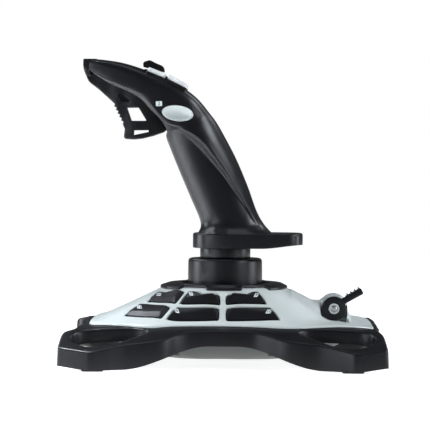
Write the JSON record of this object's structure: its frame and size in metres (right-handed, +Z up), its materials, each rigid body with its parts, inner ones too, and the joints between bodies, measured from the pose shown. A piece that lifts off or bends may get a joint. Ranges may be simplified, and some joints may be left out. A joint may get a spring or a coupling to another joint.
{
  "type": "flight joystick",
  "caption": "Desk flight joystick: four-lobed base with silver deck, throttle lever and keys, gimballed twisting pistol grip with trigger, thumb key and hat switch.",
  "frame": {"origin": "on the table plane under the stick's tilt axes, at the middle of the base outline", "axes": "+Z up, +Y away from the player, +X to the player's right"},
  "size_m": [0.196, 0.23, 0.2184],
  "materials": {
    "frame_black": "fine grained charcoal plastic",
    "satin_black": "smooth satin black plastic",
    "shell_silver": "pale green-silver satin plastic",
    "button_silver": "pale silver smooth plastic",
    "pan_grey": "grey-green matte plastic",
    "rubber": "black rubber",
    "steel": "plain steel",
    "board": "green circuit board",
    "inner_plastic": "natural moulded plastic",
    "sensor": "dark blue component body"
  },
  "bodies": {
    "base": {"base_frame": "frame_black", "top_shell": "shell_silver", "bottom_pan": "pan_grey", "foot_front_left": "rubber", "foot_front_right": "rubber", "foot_rear_left": "rubber", "foot_rear_right": "rubber", "ring_bezel": "frame_black", "throttle_housing": "shell_silver", "throttle_sensor": "sensor", "gimbal_cradle": "inner_plastic", "pitch_sensor": "sensor", "ballast_plate": "steel", "main_board": "board", "cable_gland": "rubber", "keypad_board": "board", "keypad_dome_mat": "rubber", "front_keypad_board": "board", "base_screw_1": "steel", "base_screw_2": "steel", "base_screw_3": "steel", "base_screw_4": "steel"},
    "gimbal_ring": {"pitch_yoke": "inner_plastic"},
    "stick": {"stick_tube": "steel", "collar": "frame_black", "centering_spring": "steel", "spring_seat": "inner_plastic", "twist_sensor": "sensor"},
    "grip": {"neck": "frame_black", "hand_rest": "frame_black", "handle_left_shell": "frame_black", "handle_right_shell": "frame_black", "nose_cap": "satin_black", "trigger_pin": "steel", "trigger_switch": "sensor", "thumb_switch": "sensor", "head_board": "board", "grip_wire_guide": "inner_plastic", "handle_screw_1": "steel", "handle_screw_2": "steel", "handle_screw_3": "steel"},
    "trigger_blade": {"trigger": "satin_black"},
    "thumb_key": {"thumb_button": "button_silver"},
    "hat_pivot": {"hat_gimbal": "inner_plastic"},
    "hat": {"hat_cap": "frame_black"},
    "throttle": {"throttle_lever": "satin_black", "throttle_screw": "steel"},
    "head_button_3_key": {"head_button_3": "button_silver"},
    "head_button_4_key": {"head_button_4": "button_silver"},
    "head_button_5_key": {"head_button_5": "button_silver"},
    "head_button_6_key": {"head_button_6": "button_silver"},
    "base_button_7_key": {"base_button_7": "satin_black"},
    "base_button_8_key": {"base_button_8": "satin_black"},
    "base_button_9_key": {"base_button_9": "satin_black"},
    "base_button_10_key": {"base_button_10": "satin_black"},
    "base_button_11_key": {"base_button_11": "satin_black"},
    "base_button_12_key": {"base_button_12": "satin_black"}
  },
  "joints": [
    {"name": "stick_pitch", "type": "hinge", "parent": "base", "child": "gimbal_ring", "pos_m": [0, 0, 0.05], "axis": [1, 0, 0], "range_deg": [-14, 14], "stiffness_Nm_per_rad": 2.2},
    {"name": "stick_roll", "type": "hinge", "parent": "gimbal_ring", "child": "stick", "pos_m": [0, 0, 0.05], "axis": [0, 1, 0], "range_deg": [-14, 14], "stiffness_Nm_per_rad": 2.2},
    {"name": "grip_twist", "type": "hinge", "parent": "stick", "child": "grip", "pos_m": [0, 0, 0.05], "axis": [0, 0, 1], "range_deg": [-18, 18], "stiffness_Nm_per_rad": 0.15},
    {"name": "trigger_pull", "type": "hinge", "parent": "grip", "child": "trigger_blade", "pos_m": [0, 0.092, 0.208], "axis": [-1, 0, 0], "range_deg": [0, 4.5], "stiffness_Nm_per_rad": 0.3},
    {"name": "thumb_press", "type": "slide", "parent": "grip", "child": "thumb_key", "axis": [1, 0, 0], "range_m": [0, 0.0012], "stiffness_N_per_m": 400},
    {"name": "hat_pitch", "type": "hinge", "parent": "grip", "child": "hat_pivot", "pos_m": [0, 0.052, 0.203], "axis": [1, 0, 0], "range_deg": [-6, 6], "stiffness_Nm_per_rad": 0.06},
    {"name": "hat_roll", "type": "hinge", "parent": "hat_pivot", "child": "hat", "pos_m": [0, 0.052, 0.203], "axis": [0, 1, 0], "range_deg": [-6, 6], "stiffness_Nm_per_rad": 0.06},
    {"name": "throttle_turn", "type": "hinge", "parent": "base", "child": "throttle", "pos_m": [0, -0.0787, 0.0395], "axis": [1, 0, 0], "range_deg": [-60, 20]},
    {"name": "head_button_3_press", "type": "slide", "parent": "grip", "child": "head_button_3_key", "axis": [0, 0.454, -0.891], "range_m": [0, 0.001], "stiffness_N_per_m": 400},
    {"name": "head_button_4_press", "type": "slide", "parent": "grip", "child": "head_button_4_key", "axis": [0, 0.454, -0.891], "range_m": [0, 0.001], "stiffness_N_per_m": 400},
    {"name": "head_button_5_press", "type": "slide", "parent": "grip", "child": "head_button_5_key", "axis": [0, 0.3665, -0.9304], "range_m": [0, 0.001], "stiffness_N_per_m": 400},
    {"name": "head_button_6_press", "type": "slide", "parent": "grip", "child": "head_button_6_key", "axis": [0, 0.3665, -0.9304], "range_m": [0, 0.001], "stiffness_N_per_m": 400},
    {"name": "base_button_7_press", "type": "slide", "parent": "base", "child": "base_button_7_key", "axis": [0.7552, -0.1772, -0.6311], "range_m": [0, 0.001], "stiffness_N_per_m": 400},
    {"name": "base_button_8_press", "type": "slide", "parent": "base", "child": "base_button_8_key", "axis": [0.7847, -0.0344, -0.619], "range_m": [0, 0.001], "stiffness_N_per_m": 400},
    {"name": "base_button_9_press", "type": "slide", "parent": "base", "child": "base_button_9_key", "axis": [0.7507, 0.1537, -0.6424], "range_m": [0, 0.001], "stiffness_N_per_m": 400},
    {"name": "base_button_10_press", "type": "slide", "parent": "base", "child": "base_button_10_key", "axis": [0.7792, -0.0035, -0.6268], "range_m": [0, 0.001], "stiffness_N_per_m": 400},
    {"name": "base_button_11_press", "type": "slide", "parent": "base", "child": "base_button_11_key", "axis": [0.4156, -0.2471, -0.8753], "range_m": [0, 0.001], "stiffness_N_per_m": 400},
    {"name": "base_button_12_press", "type": "slide", "parent": "base", "child": "base_button_12_key", "axis": [0.5021, -0.1662, -0.8487], "range_m": [0, 0.001], "stiffness_N_per_m": 400}
  ]
}
